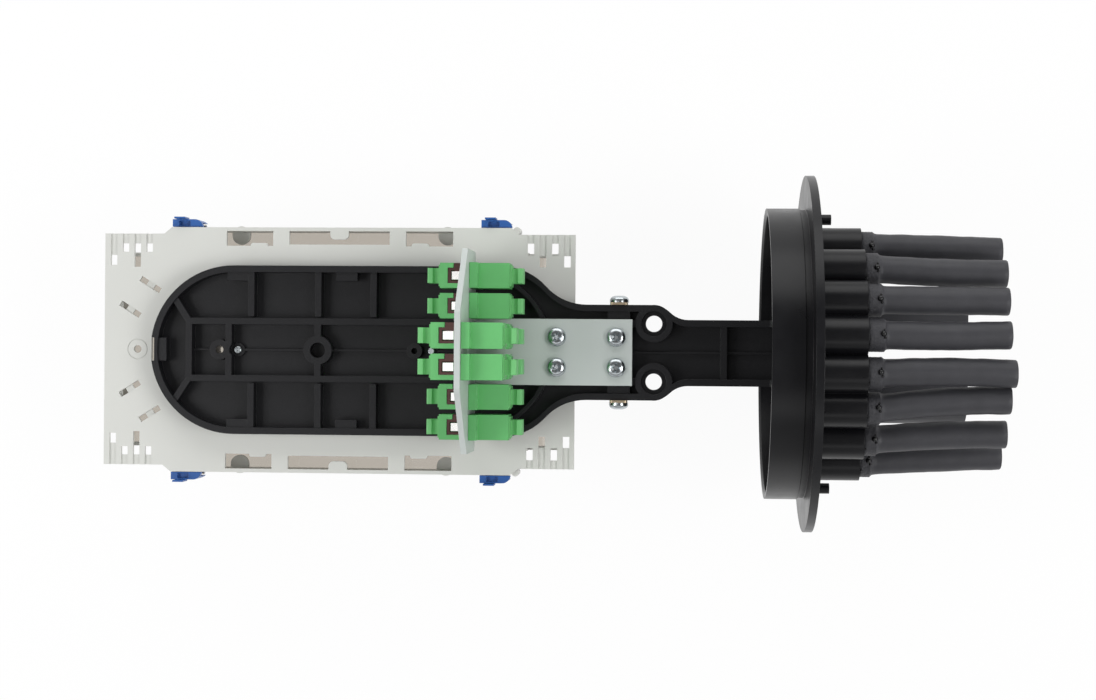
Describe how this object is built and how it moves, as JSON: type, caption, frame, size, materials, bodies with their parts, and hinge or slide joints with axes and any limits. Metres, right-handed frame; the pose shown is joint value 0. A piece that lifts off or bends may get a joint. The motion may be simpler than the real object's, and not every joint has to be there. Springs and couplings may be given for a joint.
{
  "type": "fibre splice closure",
  "caption": "Inner assembly of a dome fibre splice closure: round port base with shrink tubes, black carrier, splice tray and green adapters on a bracket.",
  "frame": {"origin": "centre of the base's round flange, on the face that the dome's flange meets", "axes": "+X along the closure's axis to the cable ports, +Z square to the tray, to the adapters, +Y across the tray"},
  "size_m": [0.3611, 0.141, 0.141],
  "materials": {
    "base_black": "moulded glass-filled polypropylene, low sheen",
    "carrier_black": "moulded plastic with a fine spark-eroded grain",
    "shrink_tube": "matt heat-shrink polyolefin",
    "tray_grey": "moulded light grey plastic, satin",
    "lid_smoke": "clear smoked sheet, glossy",
    "holder_white": "soft white plastic",
    "latch_blue": "moulded blue plastic, satin",
    "bracket_paint": "light grey powder coat",
    "adapter_green": "moulded green plastic, satin",
    "cap_green": "soft green plastic",
    "clip_steel": "bright stainless spring steel",
    "sleeve_ceramic": "white zirconia, polished",
    "zinc_screw": "bright zinc plating",
    "yellow_zinc": "yellow passivated zinc"
  },
  "bodies": {
    "closure": {"adapter_1": "adapter_green", "adapter_2": "adapter_green", "adapter_3": "adapter_green", "adapter_4": "adapter_green", "adapter_5": "adapter_green", "adapter_6": "adapter_green", "adapter_7": "adapter_green", "adapter_8": "adapter_green", "adapter_bracket": "bracket_paint", "adapter_clips": "clip_steel", "alignment_sleeves": "sleeve_ceramic", "base": "base_black", "base_ports": "base_black", "bracket_screws": "zinc_screw", "carrier_frame": "carrier_black", "clamp_plates": "yellow_zinc", "clamp_screws": "zinc_screw", "foot_screws": "zinc_screw", "port_tube_1": "shrink_tube", "port_tube_2": "shrink_tube", "port_tube_3": "shrink_tube", "port_tube_4": "shrink_tube", "port_tube_5": "shrink_tube", "port_tube_6": "shrink_tube", "port_tube_7": "shrink_tube", "port_tube_8": "shrink_tube", "splice_holder_1": "holder_white", "splice_holder_2": "holder_white", "splice_tray": "tray_grey", "tray_lid": "lid_smoke", "tray_screws": "zinc_screw", "wide_tube_1": "shrink_tube", "wide_tube_2": "shrink_tube"},
    "cap_left_1": {"cap_left_1": "cap_green"},
    "cap_right_1": {"cap_right_1": "cap_green"},
    "cap_left_2": {"cap_left_2": "cap_green"},
    "cap_right_2": {"cap_right_2": "cap_green"},
    "cap_left_3": {"cap_left_3": "cap_green"},
    "cap_right_3": {"cap_right_3": "cap_green"},
    "cap_left_4": {"cap_left_4": "cap_green"},
    "cap_right_4": {"cap_right_4": "cap_green"},
    "cap_left_5": {"cap_left_5": "cap_green"},
    "cap_right_5": {"cap_right_5": "cap_green"},
    "cap_left_6": {"cap_left_6": "cap_green"},
    "cap_right_6": {"cap_right_6": "cap_green"},
    "cap_left_7": {"cap_left_7": "cap_green"},
    "cap_right_7": {"cap_right_7": "cap_green"},
    "cap_left_8": {"cap_left_8": "cap_green"},
    "cap_right_8": {"cap_right_8": "cap_green"},
    "latch_left_front": {"latch_left_front": "latch_blue"},
    "latch_left_back": {"latch_left_back": "latch_blue"},
    "latch_right_front": {"latch_right_front": "latch_blue"},
    "latch_right_back": {"latch_right_back": "latch_blue"}
  },
  "joints": [
    {"name": "cap_left_1_pull", "type": "slide", "parent": "closure", "child": "cap_left_1", "axis": [-1, 0, 0], "range_m": [0, 0.0074]},
    {"name": "cap_right_1_pull", "type": "slide", "parent": "closure", "child": "cap_right_1", "axis": [1, 0, 0], "range_m": [0, 0.0074]},
    {"name": "cap_left_2_pull", "type": "slide", "parent": "closure", "child": "cap_left_2", "axis": [-1, 0, 0], "range_m": [0, 0.0074]},
    {"name": "cap_right_2_pull", "type": "slide", "parent": "closure", "child": "cap_right_2", "axis": [1, 0, 0], "range_m": [0, 0.0074]},
    {"name": "cap_left_3_pull", "type": "slide", "parent": "closure", "child": "cap_left_3", "axis": [-1, 0, 0], "range_m": [0, 0.0074]},
    {"name": "cap_right_3_pull", "type": "slide", "parent": "closure", "child": "cap_right_3", "axis": [1, 0, 0], "range_m": [0, 0.0074]},
    {"name": "cap_left_4_pull", "type": "slide", "parent": "closure", "child": "cap_left_4", "axis": [-1, 0, 0], "range_m": [0, 0.0074]},
    {"name": "cap_right_4_pull", "type": "slide", "parent": "closure", "child": "cap_right_4", "axis": [1, 0, 0], "range_m": [0, 0.0074]},
    {"name": "cap_left_5_pull", "type": "slide", "parent": "closure", "child": "cap_left_5", "axis": [-1, 0, 0], "range_m": [0, 0.0074]},
    {"name": "cap_right_5_pull", "type": "slide", "parent": "closure", "child": "cap_right_5", "axis": [1, 0, 0], "range_m": [0, 0.0074]},
    {"name": "cap_left_6_pull", "type": "slide", "parent": "closure", "child": "cap_left_6", "axis": [-1, 0, 0], "range_m": [0, 0.0074]},
    {"name": "cap_right_6_pull", "type": "slide", "parent": "closure", "child": "cap_right_6", "axis": [1, 0, 0], "range_m": [0, 0.0074]},
    {"name": "cap_left_7_pull", "type": "slide", "parent": "closure", "child": "cap_left_7", "axis": [-1, 0, 0], "range_m": [0, 0.0074]},
    {"name": "cap_right_7_pull", "type": "slide", "parent": "closure", "child": "cap_right_7", "axis": [1, 0, 0], "range_m": [0, 0.0074]},
    {"name": "cap_left_8_pull", "type": "slide", "parent": "closure", "child": "cap_left_8", "axis": [-1, 0, 0], "range_m": [0, 0.0074]},
    {"name": "cap_right_8_pull", "type": "slide", "parent": "closure", "child": "cap_right_8", "axis": [1, 0, 0], "range_m": [0, 0.0074]},
    {"name": "latch_left_front_swing", "type": "hinge", "parent": "closure", "child": "latch_left_front", "pos_m": [-0.2513, -0.05095, -0.0213], "axis": [1, 0, 0], "range_deg": [0, 80]},
    {"name": "latch_left_back_swing", "type": "hinge", "parent": "closure", "child": "latch_left_back", "pos_m": [-0.2513, 0.05095, -0.0213], "axis": [-1, 0, 0], "range_deg": [0, 80]},
    {"name": "latch_right_front_swing", "type": "hinge", "parent": "closure", "child": "latch_right_front", "pos_m": [-0.1235, -0.05095, -0.0213], "axis": [1, 0, 0], "range_deg": [0, 80]},
    {"name": "latch_right_back_swing", "type": "hinge", "parent": "closure", "child": "latch_right_back", "pos_m": [-0.1235, 0.05095, -0.0213], "axis": [-1, 0, 0], "range_deg": [0, 80]}
  ]
}
